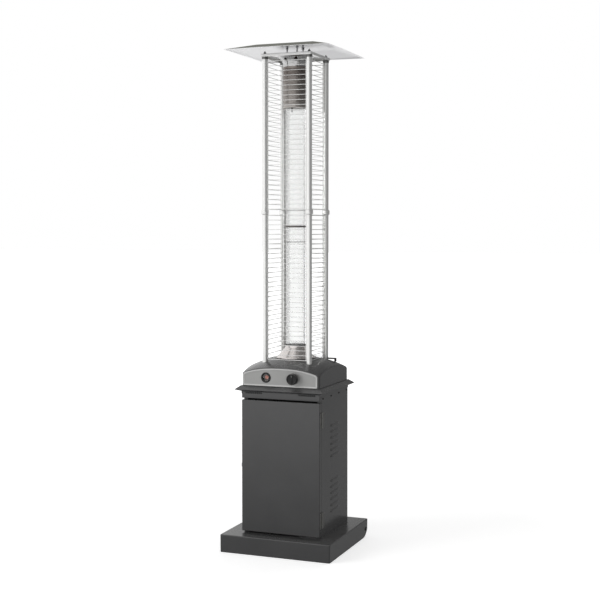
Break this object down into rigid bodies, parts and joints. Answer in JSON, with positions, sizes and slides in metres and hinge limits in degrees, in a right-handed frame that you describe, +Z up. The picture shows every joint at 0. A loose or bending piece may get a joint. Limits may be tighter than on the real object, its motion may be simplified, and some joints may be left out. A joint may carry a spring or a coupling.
{
  "type": "patio heater",
  "caption": "Free-standing gas patio heater: wheeled cabinet with a door, a domed control housing, and a glass flame tube behind wire guards under a square reflector.",
  "frame": {"origin": "middle of the plinth's underside, on the ground", "axes": "+Z up, -Y towards the side with the door and the controls, +X to the right of someone facing them"},
  "size_m": [0.5296, 0.522, 2.27],
  "materials": {
    "powder_coat": "semi-gloss powder coat",
    "fascia_coat": "satin silver-grey paint",
    "zinc_steel": "zinc plated",
    "black_plastic": "moulded, fine grain",
    "wheel_rubber": "matt black",
    "sight_glass": "clear",
    "tube_glass": "clear, polished",
    "valve_brass": "machined",
    "pipe_copper": "drawn copper",
    "burner_iron": "heat-darkened",
    "stainless": "polished stainless",
    "seal_ring": "matt black",
    "heated_steel": "browned by heat",
    "reflector_sheet": "mill finish"
  },
  "bodies": {
    "stand": {"base_pan": "powder_coat", "side_panel_left": "powder_coat", "side_panel_right": "powder_coat", "back_panel": "powder_coat", "front_rail": "powder_coat", "top_tray": "powder_coat", "control_housing": "powder_coat", "guard_clip": "powder_coat", "control_fascia": "fascia_coat", "wheel_axle": "zinc_steel", "axle_spacer": "zinc_steel", "reflector_stud_1": "zinc_steel", "reflector_stud_2": "zinc_steel", "reflector_stud_3": "zinc_steel", "hinge_lower_frame": "zinc_steel", "hinge_upper_frame": "zinc_steel", "axle_cap_right": "black_plastic", "window_bezel": "black_plastic", "tilt_switch": "black_plastic", "magnet_catch": "black_plastic", "window_glass": "sight_glass", "glass_tube_lower": "tube_glass", "glass_tube_upper": "tube_glass", "gas_valve": "valve_brass", "gas_pipe": "pipe_copper", "pilot_burner": "pipe_copper", "burner": "burner_iron", "burner_cone": "stainless", "emitter_collar": "stainless", "top_plate": "stainless", "post_lower_front_left": "stainless", "post_lower_front_right": "stainless", "post_lower_rear_left": "stainless", "post_lower_rear_right": "stainless", "post_upper_front_left": "stainless", "post_upper_front_right": "stainless", "post_upper_rear_left": "stainless", "post_upper_rear_right": "stainless", "guard_lower_right": "stainless", "guard_lower_rear": "stainless", "guard_lower_left": "stainless", "guard_lower_front": "stainless", "guard_upper_right": "stainless", "guard_upper_rear": "stainless", "guard_upper_left": "stainless", "guard_upper_front": "stainless", "glass_base_ring": "seal_ring", "emitter_drum": "heated_steel", "glass_joint_ring": "heated_steel", "reflector": "reflector_sheet"},
    "door": {"door": "powder_coat", "door_pull": "zinc_steel", "hinge_lower_door": "zinc_steel", "hinge_upper_door": "zinc_steel"},
    "push_rod": {"valve_plunger": "zinc_steel"},
    "knob": {"control_knob": "black_plastic", "valve_spindle": "valve_brass"},
    "wheel_left": {"wheel_left": "wheel_rubber"},
    "wheel_right": {"wheel_right": "wheel_rubber"}
  },
  "joints": [
    {"name": "door_swing", "type": "hinge", "parent": "stand", "child": "door", "pos_m": [0.1901, -0.16225, 0.379], "axis": [0, 0, 1], "range_deg": [0, 180]},
    {"name": "knob_press", "type": "slide", "parent": "stand", "child": "push_rod", "axis": [0, 1, 0], "range_m": [0, 0.004], "stiffness_N_per_m": 600, "springref_m": -0.004},
    {"name": "knob_turn", "type": "hinge", "parent": "push_rod", "child": "knob", "pos_m": [0.0663, -0.2, 0.783], "axis": [0, -1, 0], "range_deg": [0, 210]},
    {"name": "wheel_left_spin", "type": "hinge", "parent": "stand", "child": "wheel_left", "pos_m": [-0.2462, 0.2317, 0.0355], "axis": [1, 0, 0], "continuous": true},
    {"name": "wheel_right_spin", "type": "hinge", "parent": "stand", "child": "wheel_right", "pos_m": [0.2462, 0.2317, 0.0355], "axis": [1, 0, 0], "continuous": true}
  ]
}
